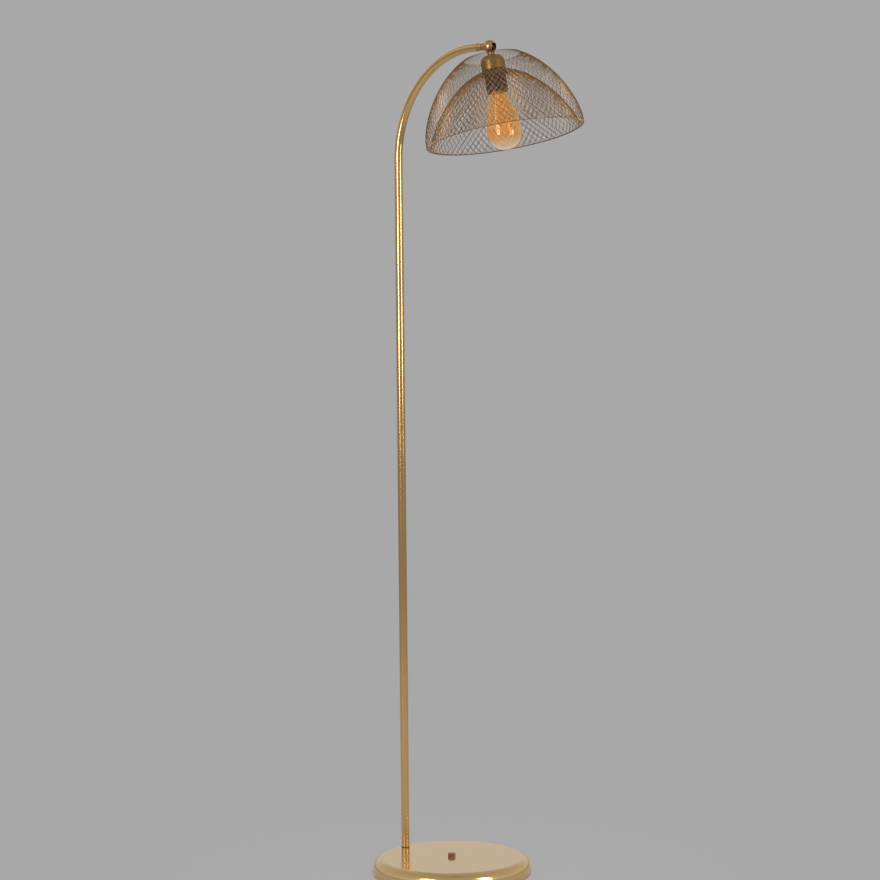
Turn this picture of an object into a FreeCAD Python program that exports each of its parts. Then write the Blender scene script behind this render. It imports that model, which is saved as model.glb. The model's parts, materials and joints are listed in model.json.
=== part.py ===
import FreeCAD, Part
import os
import re
from math import acos, cos, pi, radians, sin

import Sketcher

# A floor lamp with a double-walled wire mesh shade. A steel pole rises from near the edge of a round,
# weighted base, bends over in a quarter circle and ends in a ball swivel, from which the lampholder,
# the bulb and the shade hang. Millimetres. The origin is the middle of the base's resting face, +Z is
# up and +X is the way the arm reaches. Pieces of the head are measured along the head's own axis, as
# distances below the middle of the swivel ball.

SIZES = {
    # base
    "felt_thickness": 2.0, "felt_inset": 6.0,
    "cover_radius": 151.0, "cover_height": 32.0, "cover_shoulder": 18.5, "cover_wall": 1.5,
    "cover_floor_gap": 1.2,
    "weight_inset": 15.0, "weight_thickness": 12.0, "notch_width": 14.0,
    "bolt_radius": 4.0, "bolt_flats": 13.0, "bolt_head": 5.3, "bolt_tip": 2.0,
    "nut_height": 6.5, "washer_radius": 8.0, "washer_thickness": 1.6, "recess_radius": 9.0,
    "spacer_radius": 8.0,
    # mains lead and its way in
    "lead_radius": 2.0, "inlet_height": 8.5, "inlet_radius": 4.0, "lead_bend": 14.0,
    "grommet_flange": 5.5, "grommet_lip": 2.0,
    # pole
    "pole_radius": 8.0, "pole_wall": 1.2, "pole_inset": 29.0, "pole_joint": 690.0, "arm_joint": 1340.0,
    "bend_start": 1355.0, "bend_radius": 200.0, "arm_tail": 7.0,
    "stud_radius": 5.0, "stud_bore": 3.4, "bush_length": 14.0, "stud_grip": 12.0,
    "foot_washer_radius": 10.0, "foot_washer_thickness": 2.0, "foot_nut_flats": 17.0,
    "foot_nut_height": 4.5, "stud_tail": 1.5,
    # ball swivel at the arm's end
    "swivel_reach": 28.0, "collar_radius": 7.2, "collar_length": 9.8, "collar_groove": 0.7,
    "ball_radius": 12.0, "neck_radius": 6.6, "neck_length": 17.95,
    "stem_radius": 4.6, "stem_bore": 2.4, "stem_flange_radius": 5.5, "stem_flange": 1.6,
    "stem_face": 7.45, "slot_half": 5.6, "slot_top": 5.8, "pivot_radius": 2.0, "pivot_end": 10.6,
    "ear_radius": 4.8, "ear_outside": 5.5, "ear_inside": 3.3, "ear_drop": 12.6,
    "yoke_radius": 6.6, "yoke_floor": 1.4, "flex_bend": 8.5, "head_tilt": 12.5,
    # lampholder
    "cup_top": 17.4, "cup_radius": 22.4, "cup_length": 27.6, "cup_shoulder": 12.0, "cup_wall": 1.0,
    "nipple_end": 26.0, "locknut_flats": 14.0, "locknut_height": 3.0,
    "cap_radius": 19.5, "cap_wall": 2.2, "cap_shoulder": 10.5, "cap_end": 44.0,
    "insert_height": 7.0, "insert_gap": 0.1, "terminal_place": 9.0, "terminal_head": 2.8,
    "terminal_shank": 1.5, "terminal_head_height": 2.4, "terminal_shank_length": 5.0,
    "core_radius": 0.9, "core_start": 28.0, "core_bend": 2.5,
    "skirt_radius": 19.6, "skirt_end": 86.0, "flange_radius": 21.3, "flange_thickness": 2.4,
    "thread_bore": 13.45, "thread_sheet": 0.5, "thread_length": 32.0,
    "contact_width": 8.0, "contact_half": 7.0, "contact_sheet": 0.6,
    "ring_radius": 23.5, "ring_length": 7.8,
    # shade, heights above the plane of its rim
    "rim_depth": 170.0, "shade_radius": 146.0, "shade_height": 152.0, "shade_straight": 12.0,
    "shade_opening": 53.0, "mesh_thickness": 0.6, "fold_radius": 4.0, "clamp_radius": 28.0,
    "shade_power": 1.5, "inner_power": 1.2,
    # bulb
    "bulb_contact_place": 51.5, "contact_button": 4.6, "button_height": 0.9, "insulator_height": 3.6,
    "cap_shell_radius": 13.2, "cap_shell_sheet": 0.4, "cap_shell_length": 23.0,
    "glass_neck": 12.6, "glass_neck_end": 82.0, "glass_radius": 32.0, "glass_middle": 161.5,
    "glass_wall": 0.9, "glass_overlap": 8.0, "glass_power": 1.15,
    "stem_tube_radius": 3.2, "stem_tip": 112.0, "rod_radius": 1.2, "rod_tip": 150.0,
    "filament_radius": 10.0, "filament_wire": 0.25, "filament_top": 116.0, "filament_drop": 42.0,
    # clearances
    "thread_clearance": 0.05, "running_clearance": 0.05, "press_clearance": 0.05, "loose_clearance": 0.2,
}
FILAMENT_STRANDS = 8
DOME_STATIONS = 12
GLASS_STATIONS = 9

# Places that several pieces share, written in the sizes above.
POLE_OFFSET = "(cover_radius - pole_inset)"
BALL_X = "(bend_radius + arm_tail + swivel_reach + pole_inset - cover_radius)"
BALL_Z = "(bend_start + bend_radius)"
COVER_INSIDE = "(cover_height - cover_wall)"
WEIGHT_TOP = "(felt_thickness + weight_thickness)"
BOLT_SEAT = "(felt_thickness + loose_clearance + bolt_head)"
THREAD_HOLE = "(stud_radius + thread_clearance)"
PLUG_RADIUS = "(pole_radius - pole_wall - press_clearance)"
FOOT_WASHER_UNDER = "(cover_height - cover_wall - foot_washer_thickness)"
STUD_BOTTOM = "(cover_height - cover_wall - foot_washer_thickness - foot_nut_height - stud_tail)"
STEM_HOLE = "(stem_radius + running_clearance)"
CUP_END = "(cup_top + cup_length)"
CUP_FLOOR = "(cup_top + cup_wall)"
CAP_TOP = "(cup_top + cup_wall + locknut_height + insert_gap)"
INSERT_TOP = "(cap_end - insert_height)"
FLANGE_END = "(cap_end + flange_thickness)"
RING_TOP = "(cap_end + flange_thickness + mesh_thickness)"
BUTTON_END = "(bulb_contact_place + button_height)"
CAP_SHELL_TOP = "(bulb_contact_place + button_height + insulator_height)"

AT_POLE = (f"-{POLE_OFFSET}", "0", "0", None)
AT_ARM_END = (BALL_X, "0", BALL_Z, "rotation(vector(0; 1; 0); 90)")
AT_HEAD = (BALL_X, "0", BALL_Z, "rotation(vector(0; 1; 0); 180 - head_tilt)")

doc = FreeCAD.newDocument("MeshLamp")
sheet = doc.addObject("Spreadsheet::Sheet", "Sizes")
for row, (alias, number) in enumerate(SIZES.items(), start=1):
    sheet.set(f"A{row}", alias)
    sheet.set(f"B{row}", str(number))
    sheet.setAlias(f"B{row}", alias)
doc.recompute()

sub_parts = {}


def sized(text):
    """Turns the plain names in an expression into cells of the sheet."""
    return re.sub(r"\b[a-z][a-z_]+\b", lambda hit: "Sizes." + hit.group() if hit.group() in SIZES else hit.group(), text)


def value(name):
    return float(sheet.get(name))


def place(thing, where):
    """Binds an object's placement to a place (x, y, z, rotation), or leaves it at the origin."""
    if where:
        across, along, up, turn = where
        turn = turn or "rotation(vector(0; 0; 1); 0)"
        thing.setExpression("Placement", sized(f"placement(vector({across}; {along}; {up}); {turn})"))
    return thing


def keep(label, thing, where=None):
    """Names a finished sub-part, puts it in its place and notes it for the export."""
    thing.Label = label
    sub_parts[label] = place(thing, where)
    return thing


# ---------------------------------------------------------------- sketches and turned bodies

def new_sketch(body, role, lift=None):
    sketch = body.newObject("Sketcher::SketchObject", "Sketch")
    plane = next(item for item in body.Origin.OriginFeatures if item.Role == role)
    sketch.AttachmentSupport = [(plane, "")]
    sketch.MapMode = "FlatFace"
    if lift:
        sketch.setExpression("AttachmentOffset.Base.z", sized(lift))
    return sketch


def pin_point(sketch, geometry, end, across, up):
    """Fixes a point of a sketch at two distances from the sketch's origin."""
    drawn = sketch.getPoint(geometry, end)
    for kind, distance, now in (("DistanceX", across, drawn.x), ("DistanceY", up, drawn.y)):
        if distance is None:
            continue
        number = sketch.addConstraint(Sketcher.Constraint(kind, -1, 1, geometry, end, now))
        sketch.setExpression(f"Constraints[{number}]", sized(distance))


def draw_outline(sketch, corners):
    """Draws a closed outline of straight lines through corners given as pairs of expressions."""
    count = len(corners)
    spots = [FreeCAD.Vector(10 * cos(2 * pi * i / count), 10 * sin(2 * pi * i / count), 0) for i in range(count)]
    for i in range(count):
        sketch.addGeometry(Part.LineSegment(spots[i], spots[(i + 1) % count]), False)
    for i in range(count):
        sketch.addConstraint(Sketcher.Constraint("Coincident", i, 2, (i + 1) % count, 1))
    for i, (across, up) in enumerate(corners):
        pin_point(sketch, i, 1, across, up)


def turned_body(name, corners):
    """A body turned round the Z axis from an outline of (radius, height) corners."""
    body = doc.addObject("PartDesign::Body", name)
    sketch = new_sketch(body, "XZ_Plane")
    draw_outline(sketch, corners)
    turning = body.newObject("PartDesign::Revolution", "Revolution")
    turning.Profile = sketch
    turning.ReferenceAxis = (sketch, ["V_Axis"])
    turning.Angle = 360.0
    doc.recompute()
    return body


def ring_body(name, bore, radius, low, high):
    """A plain ring, tube or, where bore is None, a disc."""
    inside = bore or "0"
    return turned_body(name, [(inside, low), (radius, low), (radius, high), (inside, high)])


def round_edge(body, at_radius, at_height, fillet):
    """Rounds the circular edge that lies at a radius and a height, both numbers."""
    shape = body.Tip.Shape
    names = [
        f"Edge{number}"
        for number, edge in enumerate(shape.Edges, start=1)
        if hasattr(edge.Curve, "Radius")
        and abs(edge.Curve.Radius - at_radius) < 1e-3
        and abs(edge.BoundBox.ZMax - at_height) < 1e-3
        and edge.BoundBox.ZLength < 1e-3
    ]
    feature = body.newObject("PartDesign::Fillet", "Fillet")
    feature.Base = (body.Tip if body.Tip != feature else feature.BaseFeature, names)
    feature.setExpression("Radius", sized(fillet))
    doc.recompute()


# ---------------------------------------------------------------- primitives and booleans

TURNS = {"X": "rotation(vector(0; 1; 0); 90)", "Y": "rotation(vector(1; 0; 0); -90)", "Z": None}


def rod(radius, length, start=("0", "0", "0"), axis="Z"):
    thing = doc.addObject("Part::Cylinder", "Rod")
    thing.setExpression("Radius", sized(radius))
    thing.setExpression("Height", sized(length))
    return place(thing, (*start, TURNS[axis]))


def block(low, high):
    """A box between two corners."""
    thing = doc.addObject("Part::Box", "Block")
    for side, a, b in zip(("Length", "Width", "Height"), low, high):
        thing.setExpression(side, sized(f"({b}) - ({a})"))
    return place(thing, (*low, None))


def hexagon(flats, height, low):
    thing = doc.addObject("Part::Prism", "Hexagon")
    thing.Polygon = 6
    thing.setExpression("Circumradius", sized(f"({flats}) / sqrt(3)"))
    thing.setExpression("Height", sized(height))
    return place(thing, ("0", "0", low, None))


def joined(*things):
    fusion = doc.addObject("Part::MultiFuse", "Joined")
    fusion.Shapes = list(things)
    fusion.Refine = True
    return fusion


def without(thing, *tools):
    cut = doc.addObject("Part::Cut", "Cut")
    cut.Base = thing
    cut.Tool = tools[0] if len(tools) == 1 else joined(*tools)
    return cut


def shared(one, other):
    common = doc.addObject("Part::Common", "Common")
    common.Base = one
    common.Tool = other
    return common


# ---------------------------------------------------------------- base

def make_felt():
    keep("base_felt", ring_body("Felt", None, "cover_radius - felt_inset", "0", "felt_thickness"))


def make_weight():
    """Cast iron disc with a recess for the bolt's head and a notch where the lead turns up."""
    recess_top = f"({BOLT_SEAT} + washer_thickness)"
    radius = "(cover_radius - weight_inset)"
    disc = turned_body("Weight", [
        ("recess_radius", "felt_thickness"), (radius, "felt_thickness"), (radius, WEIGHT_TOP),
        ("bolt_radius + loose_clearance", WEIGHT_TOP), ("bolt_radius + loose_clearance", recess_top),
        ("recess_radius", recess_top)])
    notch = block((f"-{radius} - 1", "-notch_width / 2", "0"),
                  (f"notch_width / 2 - {POLE_OFFSET}", "notch_width / 2", f"{WEIGHT_TOP} + 1"))
    keep("base_weight", without(disc, notch))


def make_cover():
    """Pressed steel dish, open underneath, with holes for the bolt, the pole's stud and the lead."""
    hole = "bolt_radius + loose_clearance"
    dish = turned_body("Dish", [
        (hole, "cover_height"), ("cover_radius", "cover_height"), ("cover_radius", "cover_floor_gap"),
        ("cover_radius - cover_wall", "cover_floor_gap"), ("cover_radius - cover_wall", COVER_INSIDE),
        (hole, COVER_INSIDE)])
    inside = value("cover_height") - value("cover_wall")
    round_edge(dish, value("cover_radius"), value("cover_height"), "cover_shoulder")
    round_edge(dish, value("cover_radius") - value("cover_wall"), inside, "cover_shoulder - cover_wall")
    stud_hole = rod("stud_radius + loose_clearance", "cover_wall + 2", (f"-{POLE_OFFSET}", "0", f"{COVER_INSIDE} - 1"))
    inlet = rod("inlet_radius", "cover_wall + 4", ("-cover_radius - 2", "0", "inlet_height"), "X")
    keep("base_cover", without(dish, stud_hole, inlet))


def make_centre_bolt():
    """Hexagon bolt from below, its washer, the spacer under the cover and the dark nut on top."""
    length = f"cover_height + nut_height + bolt_tip - {BOLT_SEAT}"
    head = hexagon("bolt_flats", "bolt_head", f"{BOLT_SEAT} - bolt_head")
    keep("centre_bolt", joined(head, rod("bolt_radius", length, ("0", "0", BOLT_SEAT))))
    keep("bolt_washer", ring_body("BoltWasher", "bolt_radius + loose_clearance", "washer_radius",
                                  BOLT_SEAT, f"{BOLT_SEAT} + washer_thickness"))
    keep("centre_spacer", ring_body("Spacer", "bolt_radius + loose_clearance", "spacer_radius",
                                    WEIGHT_TOP, COVER_INSIDE))
    nut_top = "cover_height + nut_height"
    corner = "bolt_flats / sqrt(3)"
    chamfered = turned_body("NutBlank", [
        ("bolt_radius + thread_clearance", "cover_height"), (corner, "cover_height"),
        (corner, f"{nut_top} - ({corner} - bolt_flats / 2)"), ("bolt_flats / 2", nut_top),
        ("bolt_radius + thread_clearance", nut_top)])
    keep("centre_nut", shared(hexagon("bolt_flats", "nut_height", "cover_height"), chamfered))


def make_grommet():
    """Rubber bush in the back of the cover, where the mains lead goes in."""
    groove = "inlet_radius - running_clearance"
    inner = "cover_wall + loose_clearance"
    bush = turned_body("Grommet", [
        ("lead_radius + running_clearance", f"-({inner}) - grommet_lip"), ("grommet_flange", f"-({inner}) - grommet_lip"),
        ("grommet_flange", f"-({inner})"), (groove, f"-({inner})"), (groove, "loose_clearance"),
        ("grommet_flange", "loose_clearance"), ("grommet_flange - 1", "loose_clearance + grommet_lip"),
        ("lead_radius + running_clearance", "loose_clearance + grommet_lip")])
    keep("cord_grommet", bush, ("-cover_radius", "0", "inlet_height", "rotation(vector(0; 1; 0); -90)"))


# ---------------------------------------------------------------- pole and arm

def make_pole():
    """The straight tubes, the plug in the lower one, and the hollow stud, washer and nut that hold it."""
    for label, low, high in (("pole_lower", "cover_height", "pole_joint"), ("pole_upper", "pole_joint", "arm_joint")):
        keep(label, ring_body("Tube", "pole_radius - pole_wall", "pole_radius", low, high), AT_POLE)
    keep("pole_foot_plug", ring_body("FootPlug", THREAD_HOLE, PLUG_RADIUS, "cover_height", "cover_height + bush_length"),
         AT_POLE)
    keep("pole_stud", ring_body("Stud", "stud_bore", "stud_radius", STUD_BOTTOM, "cover_height + stud_grip"), AT_POLE)
    keep("pole_washer", ring_body("FootWasher", "stud_radius + loose_clearance", "foot_washer_radius",
                                  FOOT_WASHER_UNDER, COVER_INSIDE), AT_POLE)
    nut_low = f"({FOOT_WASHER_UNDER} - foot_nut_height)"
    nut = without(hexagon("foot_nut_flats", "foot_nut_height", nut_low),
                  rod(THREAD_HOLE, "foot_nut_height + 2", ("0", "0", f"{nut_low} - 1")))
    keep("pole_nut", nut, AT_POLE)


def make_couplers():
    """Threaded plugs in the ends of the tubes that meet, and the hollow stud that screws them together."""
    for joint in ("pole_joint", "arm_joint"):
        pieces = {
            "plug_lower": (THREAD_HOLE, PLUG_RADIUS, f"{joint} - bush_length", joint),
            "plug_upper": (THREAD_HOLE, PLUG_RADIUS, joint, f"{joint} + bush_length"),
            "stud": ("stud_bore", "stud_radius", f"{joint} - stud_grip", f"{joint} + stud_grip")}
        for piece, sizes in pieces.items():
            keep(f"{joint}_{piece}", ring_body("Coupler", *sizes), AT_POLE)


def bent_path(body, start, tail):
    """A path in the XZ plane: up from a height, round the arm's quarter bend and on by a tail."""
    path = new_sketch(body, "XZ_Plane")
    bend = value("bend_radius")
    foot, crown = FreeCAD.Vector(0, value("bend_start"), 0), FreeCAD.Vector(bend, value("bend_start") + bend, 0)
    middle = Part.Circle(FreeCAD.Vector(bend, value("bend_start"), 0), FreeCAD.Vector(0, 0, 1), bend)
    path.addGeometry(Part.LineSegment(FreeCAD.Vector(0, 0, 0), foot), False)
    path.addGeometry(Part.ArcOfCircle(middle, pi / 2, pi), False)
    path.addGeometry(Part.LineSegment(crown, crown + FreeCAD.Vector(bend, 0, 0)), False)
    path.addConstraint(Sketcher.Constraint("Coincident", 0, 2, 1, 2))
    path.addConstraint(Sketcher.Constraint("Coincident", 1, 1, 2, 1))
    path.addConstraint(Sketcher.Constraint("Horizontal", 2))
    pin_point(path, 0, 1, "0", start)
    pin_point(path, 0, 2, "0", "bend_start")
    pin_point(path, 1, 3, "bend_radius", "bend_start")
    pin_point(path, 2, 1, "bend_radius", None)
    pin_point(path, 2, 2, f"bend_radius + {tail}", None)
    return path


def swept_body(name, radii, start, path_maker):
    """A body swept from circles of the given radii, lying flat at a height, along a path."""
    body = doc.addObject("PartDesign::Body", name)
    profile = new_sketch(body, "XY_Plane", start)
    for number, radius in enumerate(radii):
        circle = Part.Circle(FreeCAD.Vector(0, 0, 0), FreeCAD.Vector(0, 0, 1), 3 + number)
        profile.addGeometry(circle, False)
        pin_point(profile, number, 3, "0", "0")
        across = profile.addConstraint(Sketcher.Constraint("Radius", number, 3.0 + number))
        profile.setExpression(f"Constraints[{across}]", sized(radius))
    path = path_maker(body)
    doc.recompute()
    pipe = body.newObject("PartDesign::AdditivePipe", "Pipe")
    pipe.Profile = profile
    pipe.Spine = (path, [f"Edge{number + 1}" for number in range(len(path.Geometry))])
    doc.recompute()
    return body


def make_arm():
    """The arm: a tube bent over in a quarter circle and cut square before the swivel."""
    tube = swept_body("ArmTube", ("pole_radius", "pole_radius - pole_wall"), "arm_joint",
                      lambda body: bent_path(body, "arm_joint", "arm_tail"))
    keep("arm_tube", tube, AT_POLE)
    tube_end = "-swivel_reach"
    keep("arm_end_plug", ring_body("EndPlug", STEM_HOLE, PLUG_RADIUS, f"{tube_end} - arm_tail", tube_end), AT_ARM_END)


def lead_path(body):
    """From inside the inlet, up through the stud and the pole, round the bend to the swivel."""
    path = bent_path(body, "inlet_height + lead_bend", f"arm_tail + swivel_reach - {flex_tangent()}")
    bend = value("lead_bend")
    middle = FreeCAD.Vector(-bend, value("inlet_height") + bend, 0)
    low = middle - FreeCAD.Vector(0, bend, 0)
    path.addGeometry(Part.ArcOfCircle(Part.Circle(middle, FreeCAD.Vector(0, 0, 1), bend), 1.5 * pi, 2 * pi), False)
    path.addGeometry(Part.LineSegment(low, low - FreeCAD.Vector(bend, 0, 0)), False)
    path.addConstraint(Sketcher.Constraint("Coincident", 3, 2, 0, 1))
    path.addConstraint(Sketcher.Constraint("Coincident", 3, 1, 4, 1))
    path.addConstraint(Sketcher.Constraint("Horizontal", 4))
    pin_point(path, 3, 3, "-lead_bend", "inlet_height + lead_bend")
    pin_point(path, 4, 1, "-lead_bend", None)
    pin_point(path, 4, 2, "-pole_inset", None)
    return path


def flex_tangent():
    """Distance from the middle of the ball to either end of the lead's bend inside it."""
    return "flex_bend * tan((90 - head_tilt) / 2)"


def make_leads():
    """The lead in the base, pole and arm, its bend inside the ball, and its end in the lampholder."""
    body = doc.addObject("PartDesign::Body", "PoleLead")
    profile = new_sketch(body, "YZ_Plane", "-pole_inset")
    profile.addGeometry(Part.Circle(FreeCAD.Vector(0, 8, 0), FreeCAD.Vector(0, 0, 1), 2), False)
    pin_point(profile, 0, 3, "0", "inlet_height")
    across = profile.addConstraint(Sketcher.Constraint("Radius", 0, 2.0))
    profile.setExpression(f"Constraints[{across}]", sized("lead_radius"))
    path = lead_path(body)
    doc.recompute()
    pipe = body.newObject("PartDesign::AdditivePipe", "Pipe")
    pipe.Profile = profile
    pipe.Spine = (path, [f"Edge{number + 1}" for number in range(len(path.Geometry))])
    keep("pole_lead", body, AT_POLE)

    tilt = radians(value("head_tilt"))
    bend = value("flex_bend")
    tangent = bend * sin(pi / 4 - tilt / 2) / cos(pi / 4 - tilt / 2)
    start = FreeCAD.Vector(-tangent, 0, 0)
    turned = Part.makeCircle(value("lead_radius"), start, FreeCAD.Vector(1, 0, 0))
    disc = Part.Face(Part.Wire(turned))
    elbow = doc.addObject("Part::Feature", "Elbow")
    elbow.Shape = disc.revolve(start + FreeCAD.Vector(0, 0, -bend), FreeCAD.Vector(0, 1, 0), 90 - value("head_tilt"))
    keep("swivel_lead", elbow, (BALL_X, "0", BALL_Z, None))
    keep("holder_lead", ring_body("HolderLead", None, "lead_radius", flex_tangent(), "core_start"), AT_HEAD)


# ---------------------------------------------------------------- ball swivel

def make_swivel():
    """Collar and hollow stem on the arm, and the slotted ball that turns on the stem."""
    back = "-swivel_reach"
    front = f"{back} + collar_length"
    groove = f"{back} + collar_length / 2"
    keep("swivel_collar", turned_body("Collar", [
        (STEM_HOLE, back), ("collar_radius", back), ("collar_radius", f"{groove} - 0.5"),
        ("collar_radius - collar_groove", f"{groove} - 0.5"), ("collar_radius - collar_groove", f"{groove} + 0.5"),
        ("collar_radius", f"{groove} + 0.5"), ("collar_radius", front), (STEM_HOLE, front)]), AT_ARM_END)
    keep("swivel_stem", turned_body("Stem", [
        ("stem_bore", f"{back} - stud_grip"), ("stem_radius", f"{back} - stud_grip"),
        ("stem_radius", "-stem_face - stem_flange"), ("stem_flange_radius", "-stem_face - stem_flange"),
        ("stem_flange_radius", "-stem_face"), ("stem_bore", "-stem_face")]), AT_ARM_END)
    sphere = doc.addObject("Part::Sphere", "Sphere")
    sphere.setExpression("Radius", sized("ball_radius"))
    neck = rod("neck_radius", "neck_length", ("-neck_length", "0", "0"), "X")
    stem_hole = rod(STEM_HOLE, "neck_length", ("-neck_length - 1", "0", "0"), "X")
    pocket = rod("stem_flange_radius + running_clearance * 2", "stem_flange + running_clearance + 1",
                 ("-stem_face - stem_flange - running_clearance", "0", "0"), "X")
    slot = block(("-stem_face", "-slot_half", "-ball_radius - 1"), ("ball_radius + 1", "slot_half", "slot_top"))
    pivots = rod("pivot_radius + thread_clearance", "2 * ball_radius", ("0", "-ball_radius", "0"), "Y")
    keep("swivel_ball", without(joined(sphere, neck), stem_hole, pocket, slot, pivots), (BALL_X, "0", BALL_Z, None))
    inside = "(ear_inside + insert_gap)"
    screws = [rod("pivot_radius", f"pivot_end - {inside}", ("0", start, "0"), "Y") for start in (inside, "-pivot_end")]
    pair = doc.addObject("Part::Compound", "Screws")
    pair.Links = screws
    keep("pivot_screws", pair, (BALL_X, "0", BALL_Z, None))


def make_yoke():
    """Fork that hangs in the ball's slot on two short screws, with a threaded neck below it."""
    cheeks = rod("ear_radius", "2 * ear_outside", ("0", "-ear_outside", "0"), "Y")
    legs = block(("-ear_radius", "-ear_outside", "0"), ("ear_radius", "ear_outside", "ear_drop"))
    neck = rod("yoke_radius", "cup_top - ear_drop", ("0", "0", "ear_drop"))
    between = block(("-ear_radius - 1", "-ear_inside", "-ear_radius - 1"), ("ear_radius + 1", "ear_inside", "ear_drop"))
    pivots = rod("pivot_radius + running_clearance", "2 * ear_outside + 2", ("0", "-ear_outside - 1", "0"), "Y")
    lead_hole = rod("lead_radius + loose_clearance", "cup_top", ("0", "0", "ear_drop - 1"))
    thread = rod(THREAD_HOLE, "cup_top", ("0", "0", "ear_drop + yoke_floor"))
    keep("swivel_yoke", without(joined(cheeks, legs, neck), between, pivots, lead_hole, thread), AT_HEAD)


# ---------------------------------------------------------------- lampholder

def make_cup():
    """Metal cup over the lampholder, with the hollow stud and locknut that hold it to the yoke."""
    hole = "stud_radius + loose_clearance"
    cup = turned_body("Cup", [
        (hole, "cup_top"), ("cup_radius", "cup_top"), ("cup_radius", CUP_END), ("cup_radius - cup_wall", CUP_END),
        ("cup_radius - cup_wall", CUP_FLOOR), (hole, CUP_FLOOR)])
    round_edge(cup, value("cup_radius"), value("cup_top"), "cup_shoulder")
    round_edge(cup, value("cup_radius") - value("cup_wall"), value("cup_top") + value("cup_wall"), "cup_shoulder - cup_wall")
    keep("socket_cup", cup, AT_HEAD)
    keep("holder_nipple", ring_body("Nipple", "stud_bore", "stud_radius", "ear_drop + yoke_floor + 0.1", "nipple_end"),
         AT_HEAD)
    locknut = without(hexagon("locknut_flats", "locknut_height", CUP_FLOOR),
                      rod(THREAD_HOLE, "locknut_height + 2", ("0", "0", f"{CUP_FLOOR} - 1")))
    keep("cup_locknut", locknut, AT_HEAD)


def make_holder():
    """Moulded cap, contact block, threaded skirt with a flange, and the ring that clamps the shade."""
    inner = "(cap_radius - cap_wall)"
    floor = f"({CAP_TOP} + cap_wall)"
    cap = turned_body("HolderCap", [
        (THREAD_HOLE, CAP_TOP), ("cap_radius", CAP_TOP), ("cap_radius", "cap_end"), (inner, "cap_end"),
        (inner, floor), (THREAD_HOLE, floor)])
    top = value("cup_top") + value("cup_wall") + value("locknut_height") + value("insert_gap")
    round_edge(cap, value("cap_radius"), top, "cap_shoulder")
    round_edge(cap, value("cap_radius") - value("cap_wall"), top + value("cap_wall"), "cap_shoulder - cap_wall")
    keep("holder_cap", cap, AT_HEAD)

    insert = ring_body("Insert", None, f"{inner} - insert_gap", INSERT_TOP, "cap_end")
    holes = [rod("terminal_shank + running_clearance", "terminal_shank_length + 1", ("0", side, f"{INSERT_TOP} - 1"))
             for side in ("terminal_place", "-terminal_place")]
    keep("contact_block", without(insert, *holes), AT_HEAD)
    screws = []
    for side in ("terminal_place", "-terminal_place"):
        head = rod("terminal_head", "terminal_head_height", ("0", side, f"{INSERT_TOP} - terminal_head_height"))
        shank = rod("terminal_shank", "terminal_shank_length - 0.5", ("0", side, INSERT_TOP))
        screws.append(joined(head, shank))
    pair = doc.addObject("Part::Compound", "TerminalScrews")
    pair.Links = screws
    keep("terminal_screws", pair, AT_HEAD)

    bore = "(thread_bore + thread_sheet + insert_gap)"
    keep("holder_skirt", turned_body("Skirt", [
        (bore, "cap_end"), ("flange_radius", "cap_end"), ("flange_radius", FLANGE_END), ("skirt_radius", FLANGE_END),
        ("skirt_radius", "skirt_end"), (bore, "skirt_end")]), AT_HEAD)
    keep("thread_shell", ring_body("ThreadShell", "thread_bore", "thread_bore + thread_sheet", "cap_end + insert_gap",
                                   "cap_end + insert_gap + thread_length"), AT_HEAD)
    keep("shade_ring", ring_body("ShadeRing", "skirt_radius + thread_clearance", "ring_radius", RING_TOP,
                                 f"{RING_TOP} + ring_length"), AT_HEAD)

    tongue = doc.addObject("PartDesign::Body", "Tongue")
    sketch = new_sketch(tongue, "XZ_Plane", "-contact_width / 2")
    base = "cap_end"
    tip = "bulb_contact_place - insert_gap"
    draw_outline(sketch, [
        ("-contact_half", base), ("contact_half", base), ("contact_half", f"{base} + contact_sheet"),
        ("-contact_half + 2", f"{base} + contact_sheet"), ("3", f"{tip} - contact_sheet"), ("3", tip),
        ("1", tip), ("-contact_half", f"{base} + contact_sheet * 2")])
    pad = tongue.newObject("PartDesign::Pad", "Pad")
    pad.Profile = sketch
    pad.setExpression("Length", sized("contact_width"))
    keep("centre_contact", tongue, AT_HEAD)


def make_cores():
    """Two insulated cores from the end of the lead to the heads of the terminal screws."""
    radius = value("core_radius")
    start = value("core_start")
    bend = value("core_bend")
    end = value("cap_end") - value("insert_height") - value("terminal_head_height") / 2
    reach = value("terminal_place") - value("terminal_head")
    cores = []
    for side in (1, -1):
        first = FreeCAD.Vector(0, side * (radius + 0.05), start)
        corner = FreeCAD.Vector(0, side * (radius + 0.05), end - bend)
        middle = corner + FreeCAD.Vector(0, side * bend * (1 - cos(pi / 4)), bend * sin(pi / 4))
        turn = corner + FreeCAD.Vector(0, side * bend, bend)
        last = FreeCAD.Vector(0, side * reach, end)
        path = Part.Wire([Part.LineSegment(first, corner).toShape(), Part.Arc(corner, middle, turn).toShape(),
                          Part.LineSegment(turn, last).toShape()])
        profile = Part.Wire(Part.makeCircle(radius, first, FreeCAD.Vector(0, 0, 1)))
        cores.append(path.makePipeShell([profile], True, False))
    pair = doc.addObject("Part::Feature", "Cores")
    pair.Shape = Part.makeCompound(cores)
    keep("holder_cores", pair, AT_HEAD)


# ---------------------------------------------------------------- shade

def above_rim(radius, height):
    """A point of the shade's section, from its radius and its height above the plane of the rim."""
    return FreeCAD.Vector(radius, 0, value("rim_depth") - height)


def dome_points(radius, height, power, top_radius, base):
    """Points up a dome's section, from its rim to a radius: the wall starts upright and leans in."""
    last = acos(top_radius / radius)
    points = []
    for station in range(DOME_STATIONS):
        angle = last * station / (DOME_STATIONS - 1)
        points.append(above_rim(radius * cos(angle), base + height * sin(angle) ** (2 / power)))
    return points


def curve_through(points):
    curve = Part.BSplineCurve()
    curve.interpolate(points)
    return curve


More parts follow.
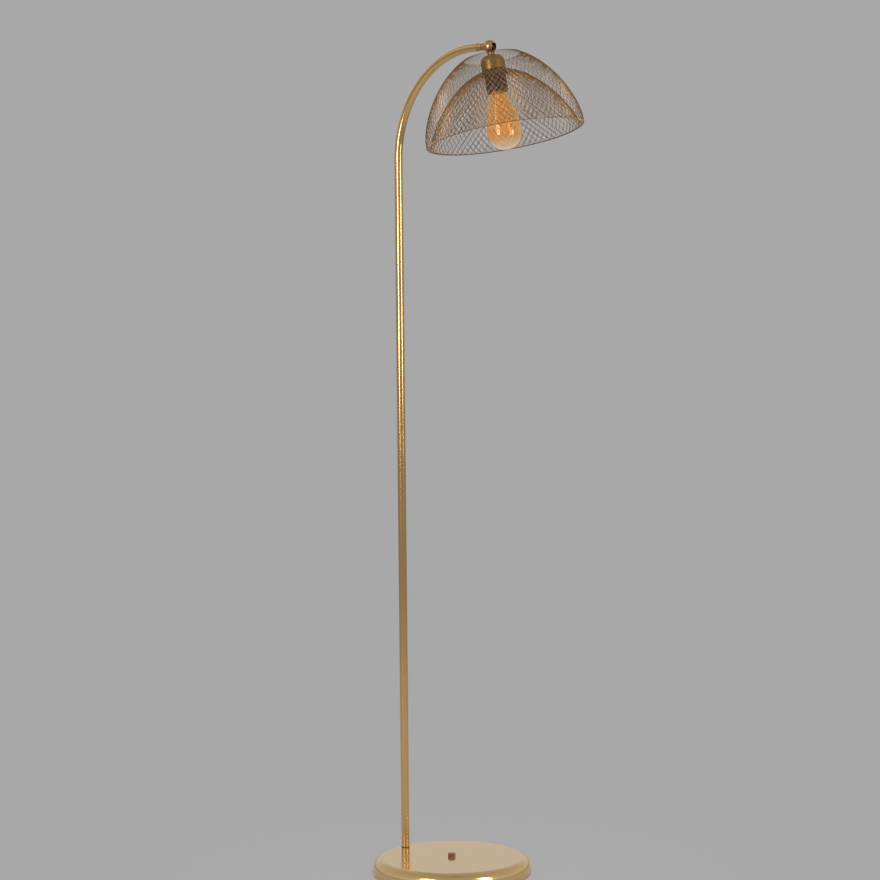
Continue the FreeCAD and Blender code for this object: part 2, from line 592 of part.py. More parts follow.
def set_inwards(points, curve, distance):
    """A curve's points moved inwards by a wall's thickness: straight across at the rim, else square to it."""
    moved = [points[0] - FreeCAD.Vector(distance, 0, 0)]
    for point in points[1:]:
        along = curve.tangent(curve.parameter(point))[0]
        inward = FreeCAD.Vector(-abs(along.z), 0, abs(along.x))
        moved.append(point + inward.normalize() * distance)
    return moved


def line(start, end):
    return Part.LineSegment(start, end).toShape()


def spin(edges):
    """The solid turned round the Z axis from a closed outline in the XZ plane."""
    face = Part.Face(Part.Wire(Part.__sortEdges__(edges)))
    return face.revolve(FreeCAD.Vector(0, 0, 0), FreeCAD.Vector(0, 0, 1), 360)


def half_circle(middle, radius):
    """The half of a circle that hangs below its middle, in the section's plane."""
    across = FreeCAD.Vector(radius, 0, 0)
    return Part.Arc(middle + across, middle + FreeCAD.Vector(0, 0, radius), middle - across).toShape()


def make_shade():
    """Outer dome with the fold at its rim, and the inner dome that the shade ring clamps."""
    sheet_thickness = value("mesh_thickness")
    outer_radius = value("shade_radius")
    fold = value("fold_radius")
    points = dome_points(outer_radius, value("shade_height"), value("shade_power"), value("shade_opening"),
                         value("shade_straight"))
    outside = curve_through(points)
    inner_points = set_inwards(points, outside, sheet_thickness)
    inside = curve_through(inner_points)
    middle = above_rim(outer_radius - fold, fold)
    thing = doc.addObject("Part::Feature", "ShadeOuter")
    thing.Shape = spin([
        outside.toShape(), line(points[-1], inner_points[-1]), inside.toShape(),
        line(points[0], above_rim(outer_radius, fold)), half_circle(middle, fold),
        line(above_rim(outer_radius - 2 * fold, fold), above_rim(outer_radius - 2 * fold + sheet_thickness, fold)),
        half_circle(middle, fold - sheet_thickness),
        line(above_rim(outer_radius - sheet_thickness, fold), inner_points[0])])
    keep("shade_outer", thing, AT_HEAD)

    clamp = value("clamp_radius")
    hole = value("skirt_radius") + value("loose_clearance")
    rim_radius = outer_radius - 2 * fold + sheet_thickness
    base = fold + value("insert_gap")
    top = value("rim_depth") - value("cap_end") - value("flange_thickness")
    power = value("inner_power")
    height = (top - base) / (1 - (clamp / rim_radius) ** 2) ** (1 / power)
    points = dome_points(rim_radius, height, power, clamp, base)
    above = curve_through(points)
    lower_points = set_inwards(points, above, sheet_thickness)
    corner = above_rim(lower_points[-1].x, top - sheet_thickness)
    lower_points[-1] = corner
    below = curve_through(lower_points)
    thing = doc.addObject("Part::Feature", "ShadeInner")
    thing.Shape = spin([
        above.toShape(), line(points[0], lower_points[0]), below.toShape(), line(points[-1], above_rim(hole, top)),
        line(above_rim(hole, top), above_rim(hole, top - sheet_thickness)),
        line(above_rim(hole, top - sheet_thickness), corner)])
    keep("shade_inner", thing, AT_HEAD)


# ---------------------------------------------------------------- bulb

def make_bulb_cap():
    """Contact button, insulator and screw shell of the bulb."""
    keep("bulb_button", ring_body("Button", None, "contact_button", "bulb_contact_place", BUTTON_END), AT_HEAD)
    keep("bulb_insulator", turned_body("Insulator", [
        ("0", BUTTON_END), ("contact_button + 1", BUTTON_END), ("cap_shell_radius - 1", CAP_SHELL_TOP),
        ("0", CAP_SHELL_TOP)]), AT_HEAD)
    keep("bulb_cap", turned_body("CapShell", [
        ("cap_shell_radius - 2", CAP_SHELL_TOP), ("cap_shell_radius - 1", CAP_SHELL_TOP),
        ("cap_shell_radius", f"{CAP_SHELL_TOP} + 1.5"), ("cap_shell_radius", f"{CAP_SHELL_TOP} + cap_shell_length"),
        ("cap_shell_radius - cap_shell_sheet", f"{CAP_SHELL_TOP} + cap_shell_length"),
        ("cap_shell_radius - cap_shell_sheet", f"{CAP_SHELL_TOP} + 1.7"),
        ("cap_shell_radius - 2", f"{CAP_SHELL_TOP} + 0.5")]), AT_HEAD)


def glass_outline(wall):
    """Edges of one side of the glass: straight neck, a swelling body and a round end, and its ends."""
    neck_end = value("glass_neck_end")
    middle = value("glass_middle")
    neck = value("glass_neck") - wall
    widest = value("glass_radius") - wall
    start = FreeCAD.Vector(neck, 0, neck_end - value("glass_overlap"))
    points = []
    for station in range(GLASS_STATIONS):
        share = station / (GLASS_STATIONS - 1)
        radius = neck + (widest - neck) * sin(pi / 2 * share) ** value("glass_power")
        points.append(FreeCAD.Vector(radius, 0, neck_end + (middle - neck_end) * share))
    body = curve_through(points)
    tip = FreeCAD.Vector(0, 0, middle + widest)
    side = FreeCAD.Vector(widest * cos(pi / 4), 0, middle + widest * sin(pi / 4))
    return [line(start, points[0]), body.toShape(), Part.Arc(points[-1], side, tip).toShape()], start, tip


def make_glass():
    outer, outer_start, outer_tip = glass_outline(0.0)
    inner, inner_start, inner_tip = glass_outline(value("glass_wall"))
    thing = doc.addObject("Part::Feature", "Glass")
    thing.Shape = spin([*outer, *inner, line(outer_start, inner_start), line(outer_tip, inner_tip)])
    keep("bulb_glass", thing, AT_HEAD)


def make_stem():
    """Glass stem inside the bulb: a flare that closes the neck, a pinched tube and a thin rod."""
    flare = "glass_neck - glass_wall - insert_gap"
    top = "glass_neck_end - glass_overlap"
    keep("bulb_stem", turned_body("BulbStem", [
        ("0", top), (flare, top), (flare, f"{top} + 2"), ("stem_tube_radius", f"{top} + 14"),
        ("stem_tube_radius", "stem_tip"), ("rod_radius", "stem_tip + 2"), ("rod_radius", "rod_tip"), ("0", "rod_tip")]),
        AT_HEAD)


def make_filament():
    """One fine wire that runs down and up round the stem in a cage of strands."""
    radius = value("filament_radius")
    top = value("filament_top")
    low = top + value("filament_drop")
    step = 2 * pi / FILAMENT_STRANDS
    spots = [FreeCAD.Vector(radius * cos(step * i), radius * sin(step * i), 0) for i in range(FILAMENT_STRANDS)]
    up = FreeCAD.Vector(0, 0, 1)
    edges = []
    for i, spot in enumerate(spots):
        ends = (spot + up * top, spot + up * low)
        start, end = ends if i % 2 == 0 else ends[::-1]
        edges.append(Part.LineSegment(start, end).toShape())
        if i + 1 < FILAMENT_STRANDS:
            beyond = spots[i + 1] + up * end.z
            crown = (end + beyond) / 2 + up * ((beyond - end).Length / 2) * (1 if i % 2 == 0 else -1)
            edges.append(Part.Arc(end, crown, beyond).toShape())
    profile = Part.Wire(Part.makeCircle(value("filament_wire"), spots[0] + up * top, up))
    thing = doc.addObject("Part::Feature", "Filament")
    thing.Shape = Part.Wire(edges).makePipeShell([profile], True, False)
    keep("filament", thing, AT_HEAD)
    supports = []
    for spot in (spots[0], spots[-1]):
        foot = spot * ((value("stem_tube_radius") + 2 * value("filament_wire")) / radius) + up * (value("stem_tip") - 4)
        reach = spot + up * (top - value("filament_wire")) - foot
        supports.append(Part.makeCylinder(value("filament_wire"), reach.Length - 0.1, foot, reach))
    pair = doc.addObject("Part::Feature", "FilamentSupports")
    pair.Shape = Part.makeCompound(supports)
    keep("filament_supports", pair, AT_HEAD)


# ---------------------------------------------------------------- build, check and write

for make in (make_felt, make_weight, make_cover, make_centre_bolt, make_grommet, make_pole, make_couplers,
             make_arm, make_leads, make_swivel, make_yoke, make_cup, make_holder, make_cores, make_shade,
             make_bulb_cap, make_glass, make_stem, make_filament):
    make()
doc.recompute()

for thing in doc.Objects:
    if "Invalid" in thing.State or "Error" in thing.State:
        raise RuntimeError(f"{thing.Label} ({thing.Name}) did not build: {thing.State}")
os.makedirs("parts", exist_ok=True)
for label, thing in sub_parts.items():
    shape = thing.Shape
    if shape.isNull() or not shape.isValid() or not shape.Solids:
        raise RuntimeError(f"{label} has no valid solid")
    shape.exportStep(f"parts/{label}.step")
    print(f"{label}: {len(shape.Solids)} solid(s), {shape.Volume / 1000:.3f} cm3")
print(f"{len(sub_parts)} sub-parts written")
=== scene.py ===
# %% [markdown]
# # A floor lamp with a wire cage shade
#
# This notebook dresses the CAD model of a gold floor lamp. Every piece but two keeps the shape that the CAD
# model gives it and gets a finish. The two domes of expanded mesh are modelled here, because the CAD model
# holds them as closed sheets. Lengths are in metres. The lamp stands on the origin, and its arm reaches
# along +X.

# %% Load the frame
import json
from math import acos, cos, pi, radians, sin, sqrt

import bmesh
import bpy
from mathutils import Matrix, Quaternion, Vector


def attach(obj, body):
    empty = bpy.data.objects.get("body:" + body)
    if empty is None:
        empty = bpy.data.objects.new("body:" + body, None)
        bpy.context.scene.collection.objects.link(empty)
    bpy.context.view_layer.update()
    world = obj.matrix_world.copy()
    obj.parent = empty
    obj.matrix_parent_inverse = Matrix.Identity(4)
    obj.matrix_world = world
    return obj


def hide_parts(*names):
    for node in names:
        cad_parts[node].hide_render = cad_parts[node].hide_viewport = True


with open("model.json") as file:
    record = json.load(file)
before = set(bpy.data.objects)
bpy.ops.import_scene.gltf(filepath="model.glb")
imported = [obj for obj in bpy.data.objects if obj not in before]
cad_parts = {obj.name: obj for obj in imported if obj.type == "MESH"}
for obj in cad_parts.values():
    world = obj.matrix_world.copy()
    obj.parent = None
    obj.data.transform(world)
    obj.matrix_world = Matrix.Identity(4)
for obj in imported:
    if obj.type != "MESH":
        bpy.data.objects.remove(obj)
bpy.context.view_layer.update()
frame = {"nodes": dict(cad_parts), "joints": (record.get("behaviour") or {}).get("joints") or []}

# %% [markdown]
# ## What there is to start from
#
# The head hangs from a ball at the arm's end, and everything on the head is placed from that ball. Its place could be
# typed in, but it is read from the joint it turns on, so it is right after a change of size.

ball = Vector(next(joint for joint in frame["joints"] if joint["name"] == "head_tilt")["pos_m"])

# %% [markdown]
# ## The camera
#
# The photograph was taken with a long lens from five metres away, from the height of the lamp's upper half,
# so that one looks up into the shade and down on the base. A camera could be placed by hand and turned until
# things line up. A least-squares fit to the outlines is steadier, and leaves only a few numbers to keep:
# where the camera stands, where it looks, how far it is rolled, and its lens.

# %% Camera
CAMERA_PLACE = Vector((3.405, -3.661, 1.218))
CAMERA_SIDE = 43.1
LOOK_DOWN = 4.47
ROLL = -0.52
LENS = 109.1
SENSOR = 36.0

bpy.ops.object.camera_add(location=CAMERA_PLACE)
camera = bpy.context.object
side, down = radians(CAMERA_SIDE), radians(LOOK_DOWN)
forward = Vector((-sin(side) * cos(down), cos(side) * cos(down), -sin(down)))
camera.rotation_mode = "QUATERNION"
camera.rotation_quaternion = forward.to_track_quat("-Z", "Y") @ Quaternion((0, 0, 1), radians(ROLL))
camera.data.sensor_width = SENSOR
camera.data.lens = LENS
bpy.context.scene.camera = camera
bpy.context.scene.view_settings.view_transform = "Standard"
print("camera", camera.data.lens, "mm")

# %% [markdown]
# ## Shader maths as Python
#
# A material is a tree of nodes. Writing one line for each node and link hides what the material does, so a
# small class wraps a socket and lets Python's own operators add the Math nodes. Every other node comes from
# one method, which takes the node's type, its settings and what goes into its sockets.

# %% Sockets and finishes
class Socket:
    """An output of a node, on which + and * add Math nodes."""

    def __init__(self, finish, link):
        self.finish = finish
        self.link = link

    def maths(self, operation, first, second):
        return self.finish.node("ShaderNodeMath", {"operation": operation}, {0: first, 1: second})

    def __add__(self, other):
        return self.maths("ADD", self, other)

    def __radd__(self, other):
        return self.maths("ADD", other, self)

    def __mul__(self, other):
        return self.maths("MULTIPLY", self, other)


class Finish:
    """A material, or the world, under construction."""

    def __init__(self, name, owner=None):
        self.data = owner or bpy.data.materials.new(name)
        self.data.use_nodes = True
        self.tree = self.data.node_tree
        self.tree.nodes.clear()

    def node(self, kind, settings=None, sockets=None, output=0):
        node = self.tree.nodes.new(kind)
        for name, setting in (settings or {}).items():
            setattr(node, name, setting)
        for name, entry in (sockets or {}).items():
            if isinstance(entry, Socket):
                self.tree.links.new(entry.link, node.inputs[name])
            else:
                node.inputs[name].default_value = entry
        return Socket(self, node.outputs[output]) if node.outputs else None

    def place(self):
        """Object coordinates, in metres."""
        return self.node("ShaderNodeTexCoord", output="Object")

    def height_of(self, place):
        return self.node("ShaderNodeSeparateXYZ", {}, {0: place}, output=2)

    def noise(self, scale, detail):
        """Noise from 0 to 1 whose grains are one over scale metres."""
        return self.node("ShaderNodeTexNoise", {}, {"Vector": self.place(), "Scale": scale, "Detail": detail})

    def share(self, value, start, end, low=0.0, high=1.0, way="LINEAR"):
        """A number that goes from low to high as a value goes from start to end."""
        return self.node("ShaderNodeMapRange", {"interpolation_type": way},
                         {0: value, 1: start, 2: end, 3: low, 4: high})

    def blend(self, share, first, second):
        """A colour between two, by a share from 0 to 1."""
        return self.node("ShaderNodeMix", {"data_type": "RGBA"}, {0: share, 6: first, 7: second}, output=2)

    def gradient(self, share, stops):
        """A colour from a row of (place, colour) stops."""
        ramp = self.node("ShaderNodeValToRGB", {}, {0: share})
        elements = ramp.link.node.color_ramp.elements
        while len(elements) < len(stops):
            elements.new(0.5)
        for element, (place, colour) in zip(elements, stops):
            element.position = place
            element.color = (*colour, 1)
        return ramp

    def bump(self, height, strength, distance):
        return self.node("ShaderNodeBump", {}, {"Height": height, "Strength": strength, "Distance": distance})

    def surface(self, **sockets):
        """Ends the tree in one Principled shader. An underscore in a name stands for a space."""
        named = {name.replace("_", " "): entry for name, entry in sockets.items()}
        shader = self.node("ShaderNodeBsdfPrincipled", {}, named)
        self.node("ShaderNodeOutputMaterial", {}, {"Surface": shader})
        return self.data


def rgb(red, green, blue):
    """A colour as it is read off a screen, 0 to 255, as the shader wants it."""
    return (*[((c / 255 + 0.055) / 1.055) ** 2.4 if c > 10 else c / 255 / 12.92 for c in (red, green, blue)], 1)


def darker(colour, share):
    return tuple(c * share for c in colour[:3]) + (1,)


print("shader maths ready")

# %% [markdown]
# ## The floor
#
# The photograph shows the lamp cut out on a flat mid-grey card. A grey paper would need even light to look
# so flat, and that light would spoil the gold. Here a large floor has the card's grey for the camera, and
# shows a little of its own shading near the lamp, so that the lamp's shadow still falls on it. That share
# fades with distance, so the floor ends without a line against the grey behind it.

# %% Floor
CARD = (0.392, 0.392, 0.392, 1)
FLOOR_PAINT = (0.55, 0.55, 0.55, 1)
SHADOW_START, SHADOW_END = 0.15, 0.75
FLATNESS_AT_LAMP = 0.93

bpy.ops.mesh.primitive_circle_add(vertices=96, radius=9.0, fill_type="NGON", location=(0, 0, -0.0005))
floor = bpy.context.object
floor.name = "studio_floor"
card = Finish("floor_card")
seen = card.node("ShaderNodeLightPath", output="Is Camera Ray")
plain = card.node("ShaderNodeEmission", {}, {"Color": CARD, "Strength": 1.0})
lit = card.node("ShaderNodeBsdfDiffuse", {}, {"Color": FLOOR_PAINT})
distance = card.node("ShaderNodeVectorMath", {"operation": "LENGTH"}, {0: card.place()}, output=1)
flatness = card.share(distance, SHADOW_START, SHADOW_END, FLATNESS_AT_LAMP, 1.0)
mixed = card.node("ShaderNodeMixShader", {}, {0: seen * flatness, 1: lit, 2: plain})
card.node("ShaderNodeOutputMaterial", {}, {"Surface": mixed})
floor.data.materials.append(card.data)
print("floor", floor.name)

# %% [markdown]
# ## The room that the gold reflects
#
# Polished metal shows mostly what is round it. A flat grey world would leave the tubes flat, and an image of
# a room would be a file to carry along, so a ramp over the height of the view stands in: a dark floor, a
# pale band just above the horizon and a softer ceiling. The camera itself sees the card's grey.

# %% World
SKY = [(0.0, (0.16, 0.15, 0.14)), (0.50, (0.42, 0.41, 0.40)), (0.60, (0.74, 0.75, 0.76)), (1.0, (0.50, 0.50, 0.50))]

world = bpy.data.worlds.new("studio")
bpy.context.scene.world = world
studio = Finish("studio", world)
seen = studio.node("ShaderNodeLightPath", output="Is Camera Ray")
behind = studio.node("ShaderNodeBackground", {}, {"Color": CARD, "Strength": 1.0})
upward = studio.height_of(studio.node("ShaderNodeTexCoord", output="Generated"))
around = studio.node("ShaderNodeBackground", {}, {
    "Color": studio.gradient(upward * 0.5 + 0.5, SKY), "Strength": 1.0})
mixed = studio.node("ShaderNodeMixShader", {}, {0: seen, 1: around, 2: behind})
studio.node("ShaderNodeOutputWorld", {}, {"Surface": mixed})
print("world", world.name)

# %% [markdown]
# ## The lamps of the studio
#
# Two bright lines run down the upper pole, and two bright spots sit on the bulb. Sun lamps would give sharp
# sparks, so two tall strips stand left and right of the camera, level with the upper half of the pole. A
# wide one overhead fills the top. Gold doesn't mirror that one, because the shoulder of the base would show
# it as a white bar that the photograph doesn't have.

# %% Lamps
def soft_lamp(name, place, target, size, watts):
    """A rectangular lamp that faces a point."""
    bpy.ops.object.light_add(type="AREA", location=place)
    lamp = bpy.context.object
    lamp.name = name
    lamp.data.shape = "RECTANGLE"
    lamp.data.size, lamp.data.size_y = size
    lamp.data.energy = watts
    lamp.rotation_mode = "QUATERNION"
    lamp.rotation_quaternion = (target - place).to_track_quat("-Z", "Y")
    return lamp


middle = Vector((0.05, 0.0, 1.1))
right = Vector((cos(side), sin(side), 0))
toward = Vector((sin(side), -cos(side), 0))
raised = Vector((0, 0, 0.4))
soft_lamp("strip_left", middle - right * 1.6 + toward * 1.9 + raised, middle, (0.7, 1.5), 28)
soft_lamp("strip_right", middle + right * 1.9 + toward * 1.5 + raised, middle, (0.6, 1.5), 20)
overhead = soft_lamp("overhead", middle + Vector((0, 0, 2.2)), middle, (3.0, 3.0), 26)
overhead.visible_glossy = False

# %% [markdown]
# ## Gold lacquer
#
# All the gold metal is lacquered: a metal with a warm colour, a faint unevenness in its gloss from spraying, and
# almost no texture. A plain colour would look like plastic, and a painted texture would be wasted on a surface this
# smooth, so the change is in the roughness and in a very shallow bump. A clear coat whitens the highlights of the
# tubes. The pole also has a painted contact shadow: a dark line where it meets the base.

# %% Gold finishes
CLOUD_SCALE, GRAIN_SCALE = 9.0, 300.0
GRAIN_DEPTH = 0.0001
BASE_TOP = 0.0325
CONTACT_SHADOW_FADE = 0.002


def gold_lacquer(name, colour, gloss, waviness, coat=0.0, contact_shadow_top=0.0):
    """Gold paint. Given a height, the metal below it is painted dark, as a painted contact shadow."""
    finish = Finish(name)
    cloud = finish.noise(CLOUD_SCALE, 2.0)
    grain = finish.noise(GRAIN_SCALE, 1.0)
    tone = finish.blend(cloud, darker(colour, 0.93), colour)
    # painted contact shadow: below the given height the metal turns dark, where the pole meets the base
    if contact_shadow_top:
        clear = finish.share(finish.height_of(finish.place()), contact_shadow_top, contact_shadow_top + CONTACT_SHADOW_FADE)
        tone = finish.blend(clear, darker(colour, 0.15), tone)
    return finish.surface(
        Base_Color=tone, Metallic=1.0, Roughness=gloss + cloud * 0.06 + grain * 0.03,
        Normal=finish.bump(grain, waviness, GRAIN_DEPTH), Coat_Weight=coat, Coat_Roughness=0.08)


gold_tube = gold_lacquer("gold_lacquer_tube", rgb(206, 166, 106), 0.14, 0.004, coat=0.8, contact_shadow_top=BASE_TOP)
gold_base = gold_lacquer("gold_lacquer_base", rgb(214, 180, 124), 0.10, 0.02)
gold_ball = gold_lacquer("gold_lacquer_ball", rgb(184, 144, 92), 0.22, 0.03)
gold_cup = gold_lacquer("gold_lacquer_cup", rgb(138, 104, 56), 0.36, 0.1, coat=0.2)
gold_strand = gold_lacquer("gold_lacquer_mesh", rgb(158, 120, 74), 0.3, 0.2)
print("gold", [material.name for material in (gold_tube, gold_base, gold_ball, gold_cup, gold_strand)])

# %% [markdown]
# ## The other finishes
#
# The rest of the lamp is dark bronze, zinc-plated steel, moulded plastic, rubber, felt, cast iron and brass.
# Each could have its own tree, but most of them are hidden inside, so they share one with a fine grain in
# its colour, gloss and height, and differ in colour, in gloss and in the size and depth of the grain.

# %% Plain finishes
def plain_finish(name, colour, metallic, roughness, grain_scale, depth):
    """A finish with a fine grain in its colour, gloss and height."""
    finish = Finish(name)
    grain = finish.noise(grain_scale, 3.0)
    return finish.surface(
        Base_Color=finish.blend(grain, darker(colour, 0.8), colour), Metallic=metallic,
        Roughness=roughness + grain * 0.1, Normal=finish.bump(grain, 0.4, depth))


dark_bronze = plain_finish("dark_bronze", rgb(165, 122, 92), 1.0, 0.22, 700.0, 0.0001)
zinc_steel = plain_finish("zinc_steel", rgb(190, 188, 180), 1.0, 0.3, 500.0, 0.0001)
black_plastic = plain_finish("black_plastic", rgb(30, 17, 8), 0.0, 0.45, 900.0, 0.0001)
white_plastic = plain_finish("white_plastic", rgb(225, 220, 208), 0.0, 0.5, 600.0, 0.0001)
black_rubber = plain_finish("black_rubber", rgb(28, 27, 26), 0.0, 0.6, 900.0, 0.0002)
black_felt = plain_finish("black_felt", rgb(30, 30, 30), 0.0, 0.95, 1500.0, 0.001)
cast_iron = plain_finish("cast_iron", rgb(60, 60, 62), 1.0, 0.6, 400.0, 0.0006)
brass = plain_finish("brass", rgb(214, 176, 100), 1.0, 0.25, 600.0, 0.0001)
black_glaze = plain_finish("black_glaze", rgb(18, 18, 20), 0.0, 0.1, 300.0, 0.0001)
print("plain finishes ready")

# %% [markdown]
# ## Who wears what
#
# Every CAD piece gets one finish. Looping over the pieces, and not over the table, makes sure that none is
# forgotten: what the table doesn't name is a fastening or a plug, and is zinc-plated steel.

# %% Dress the CAD pieces
finishes = {
    "base_cover": gold_base, "pole_lower": gold_tube, "pole_upper": gold_tube, "arm_tube": gold_tube,
    "swivel_collar": gold_tube, "swivel_ball": gold_ball, "swivel_yoke": gold_cup, "socket_cup": gold_cup,
    "centre_nut": dark_bronze, "base_felt": black_felt, "base_weight": cast_iron, "cord_grommet": black_rubber,
    "holder_cap": black_plastic, "holder_skirt": black_plastic, "shade_ring": black_plastic,
    "contact_block": white_plastic, "bulb_insulator": black_glaze,
}
finishes |= dict.fromkeys(["pole_lead", "swivel_lead", "holder_lead", "holder_cores"], black_rubber)
finishes |= dict.fromkeys(["terminal_screws", "thread_shell", "centre_contact", "bulb_button", "bulb_cap"], brass)
for name, node in frame["nodes"].items():
    node.data.materials.clear()
    node.data.materials.append(finishes.get(name, zinc_steel))
print("finished", len(frame["nodes"]), "nodes")

# %% [markdown]
# ## Working by hand, in code
#
# A piece starts as a primitive, is shaped in edit mode and is then hung in its place. The mesh domes are
# modelled upright, with the middle of the swivel ball at the origin and the head's axis along -Z, and are
# tilted into place at the end. They could be made where they hang, but every ring would then be slanted.
# Their object ends at the world's origin, with the place in the mesh.

# %% Helpers
HEAD_TILT = 12.5
hang = Matrix.Translation(ball) @ Matrix.Rotation(radians(-HEAD_TILT), 4, "Y")


def nothing_selected():
    if bpy.context.object and bpy.context.object.mode != "OBJECT":
        bpy.ops.object.mode_set(mode="OBJECT")
    bpy.ops.object.select_all(action="DESELECT")


def only_selected(thing):
    nothing_selected()
    bpy.context.view_layer.objects.active = thing
    thing.select_set(True)


def choose_edges(thing, test):
    """Selects the edges that pass a test, in edit mode."""
    bpy.ops.mesh.select_all(action="DESELECT")
    bpy.ops.mesh.select_mode(type="EDGE")
    shape = bmesh.from_edit_mesh(thing.data)
    for edge in shape.edges:
        edge.select = test(edge)
    shape.select_flush_mode()
    bmesh.update_edit_mesh(thing.data)


def apply_modifier(thing, kind, **settings):
    only_selected(thing)
    modifier = thing.modifiers.new(kind.title(), kind)
    for name, setting in settings.items():
        setattr(modifier, name, setting)
    bpy.ops.object.modifier_apply(modifier=modifier.name)


def settle(thing, name, finish, body, stands_for):
    """Hangs a finished piece in its place, on its body, and hides the CAD pieces it stands for."""
    only_selected(thing)
    thing.matrix_world = hang @ thing.matrix_world
    bpy.ops.object.transform_apply(location=True, rotation=True, scale=True)
    thing.name = name
    thing.data.name = name
    thing.data.materials.clear()
    thing.data.materials.append(finish)
    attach(thing, body)
    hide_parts(*stands_for)
    print(name, len(thing.data.polygons), "faces")


print("head hangs at", HEAD_TILT, "degrees")

# %% [markdown]
# ## The section of the shade
#
# The shade is one sheet of expanded metal, gathered over a form into a dome, folded flat at the rim and
# drawn up into a second dome inside the first. A half circle is too round for either dome, so each rises by
# a power of the sine, which keeps its side steep and its top flat. The outer one ends in an opening round
# the cup, the inner one at the ring that clamps it to the lampholder.

# %% Section
CELLS = 76
STRAND = 0.0090
STRAND_WIDTH = 0.0008
RIM = -0.170
OUTER_RADIUS = 0.1457
INNER_RADIUS = 0.1383
LIP_GAP = 0.0007
LIP_HEIGHT = 0.0006
SIDE_START = 0.0015
OPENING_RADIUS = 0.053
CLAMP_RADIUS = 0.0276
STEPS = 200


def dome_curve(radius, end_radius, start, rise, power):
    """Radius and height up a dome, from its widest place to where it ends."""
    last = acos(end_radius / radius)
    angles = [last * step / STEPS for step in range(STEPS + 1)]
    return [(radius * cos(angle), RIM + start + rise * sin(angle) ** power) for angle in angles]


fold = [(INNER_RADIUS + LIP_GAP + 0.0008 * step, RIM + LIP_HEIGHT) for step in range(8)]
straight_side = [(OUTER_RADIUS, RIM + SIDE_START + 0.001 * step) for step in range(10)]
outer_section = fold + straight_side + dome_curve(OUTER_RADIUS, OPENING_RADIUS, 0.012, 0.1517, 4 / 3)
inner_section = dome_curve(INNER_RADIUS, CLAMP_RADIUS, 0.0012, 0.1246, 5 / 3)
print("sections of", len(outer_section), "and", len(inner_section), "points")

# %% [markdown]
# ## Where the rows go
#
# Where a dome narrows, the strands of the real mesh keep their length, so the diamonds close up sideways and
# grow taller. Rows at even heights would stretch the strands instead. So the section is walked along, and a
# row is set wherever a strand of the right length, leaning by half a cell, comes to its end.

# %% Rows
def rows_along(section):
    """Stations up a section at which the strands keep their length: (radius, height) of each row."""
    travelled = [0.0]
    for (r1, z1), (r2, z2) in zip(section, section[1:]):
        step = sqrt(max(STRAND**2 - (pi * (r1 + r2) / 2 / CELLS) ** 2, 1e-9))
        travelled.append(travelled[-1] + sqrt((r2 - r1) ** 2 + (z2 - z1) ** 2) / step)
    rows = round(travelled[-1])
    stations = []
    at = 0
    for row in range(rows + 1):
        wanted = travelled[-1] * row / rows
        while at < len(travelled) - 2 and travelled[at + 1] < wanted:
            at += 1
        share = (wanted - travelled[at]) / (travelled[at + 1] - travelled[at])
        (r1, z1), (r2, z2) = section[at], section[at + 1]
        stations.append((r1 + (r2 - r1) * share, z1 + (z2 - z1) * share))
    return stations


outer_rows, inner_rows = rows_along(outer_section), rows_along(inner_section)
print("rows", len(outer_rows), len(inner_rows))

# %% [markdown]
# ## Knitting the domes
#
# Expanded metal is a sheet slit and stretched into diamonds. An image of a mesh would be flat, and a copy of
# one diamond along a curve would not close up. So each dome is a ring of edges that is extruded, scaled and
# turned by half a cell, row after row. Cutting each face along its short diagonal and dissolving the rings
# leaves diamonds, and the Wireframe modifier turns their edges into strands.

# %% Knit
SAME = 1e-6


def lies_in_a_ring(edge):
    """True for an edge, not at a border, that stays at one height and one radius."""
    first, second = (vertex.co for vertex in edge.verts)
    return (not edge.is_boundary and abs(first.z - second.z) < SAME
            and abs(first.xy.length - second.xy.length) < SAME)


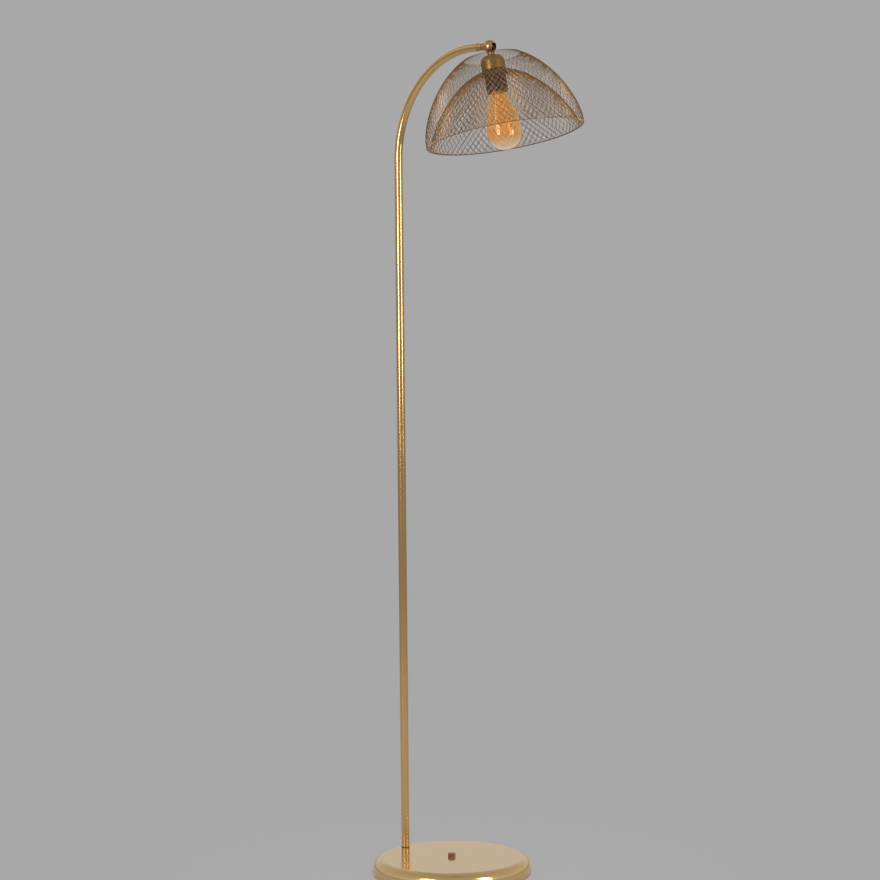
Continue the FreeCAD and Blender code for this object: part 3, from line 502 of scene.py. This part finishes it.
def knit(stations):
    """A dome of diamonds: rings extruded up the stations, each turned by half a cell."""
    nothing_selected()
    radius, height = stations[0]
    bpy.ops.mesh.primitive_circle_add(vertices=CELLS, radius=radius, location=(0, 0, height))
    dome = bpy.context.object
    bpy.ops.object.mode_set(mode="EDIT")
    bpy.ops.mesh.select_mode(type="EDGE")
    bpy.ops.mesh.select_all(action="SELECT")
    half_cell = pi / CELLS
    for next_radius, next_height in stations[1:]:
        bpy.ops.mesh.extrude_edges_move(TRANSFORM_OT_translate={"value": (0, 0, next_height - height)})
        scale = next_radius / radius
        bpy.ops.transform.resize(value=(scale, scale, 1), center_override=(0, 0, next_height))
        bpy.ops.transform.rotate(value=half_cell, orient_axis="Z", center_override=(0, 0, next_height))
        radius, height, half_cell = next_radius, next_height, -half_cell
    bpy.ops.mesh.select_all(action="SELECT")
    bpy.ops.mesh.quads_convert_to_tris(quad_method="SHORTEST_DIAGONAL")
    choose_edges(dome, lies_in_a_ring)
    bpy.ops.mesh.dissolve_edges(use_verts=False, use_face_split=False)
    bpy.ops.mesh.select_all(action="SELECT")
    bpy.ops.mesh.normals_make_consistent(inside=False)
    bpy.ops.object.mode_set(mode="OBJECT")
    print("diamonds", len(dome.data.polygons))
    apply_modifier(dome, "WIREFRAME", thickness=STRAND_WIDTH, use_boundary=True, use_even_offset=True)
    return dome


settle(knit(outer_rows), "mesh_outer", gold_strand, "head", ["shade_outer"])
settle(knit(inner_rows), "mesh_inner", gold_strand, "head", ["shade_inner"])

# %% [markdown]
# ## The bulb
#
# The glass is amber, so that a filament bulb looks old; its paler, cream tip is a painted highlight. The CAD model
# has the blown wall with both its faces, so it only needs a glass that bends light. Reflections alone would leave it
# dull behind two layers of mesh, so the glass has a painted glow, more orange at the neck and cream at the tip. How
# far a point is down the bulb is its distance along the head's axis, which a dot product gives.

# %% Glass
PAINTED_TIP_START, PAINTED_TIP_END = 0.165, 0.190

axis = hang.to_3x3() @ Vector((0, 0, -1))
amber = Finish("amber_glass")
along = amber.node("ShaderNodeVectorMath", {"operation": "DOT_PRODUCT"}, {0: amber.place(), 1: tuple(axis)}, output=1)
from_ball = ball @ axis
# painted highlight: the glass turns paler and cream towards its tip, and its painted glow turns cream there too
pale_tip_highlight = amber.share(along, from_ball + PAINTED_TIP_START, from_ball + PAINTED_TIP_END, way="SMOOTHSTEP")
# painted glow: a weak emission on the glass stands in for light that reflections alone don't give
amber_glass = amber.surface(
    Base_Color=amber.blend(pale_tip_highlight, rgb(249, 218, 172), rgb(253, 242, 226)), Roughness=0.0, IOR=1.45,
    Transmission_Weight=1.0, Emission_Color=amber.blend(pale_tip_highlight, rgb(255, 186, 100), rgb(255, 232, 200)),
    Emission_Strength=0.05)
for name in ("bulb_glass", "bulb_stem"):
    frame["nodes"][name].data.materials[0] = amber_glass
print("glass from", round(PAINTED_TIP_START, 3), "to", round(PAINTED_TIP_END, 3), "m down the head is paler")

# %% [markdown]
# ## The filament
#
# The filament is a fine wire on a ring of supports. It could be left dark, but the photograph shows it
# orange through the glass, so it is a metal with a weak orange glow.

# %% Filament
glow = Finish("filament_glow")
filament_glow = glow.surface(Base_Color=rgb(200, 120, 50), Metallic=1.0, Roughness=0.4,
                             Emission_Color=rgb(255, 150, 50), Emission_Strength=0.6)
for name in ("filament", "filament_supports"):
    frame["nodes"][name].data.materials[0] = filament_glow
print("bulb finished")
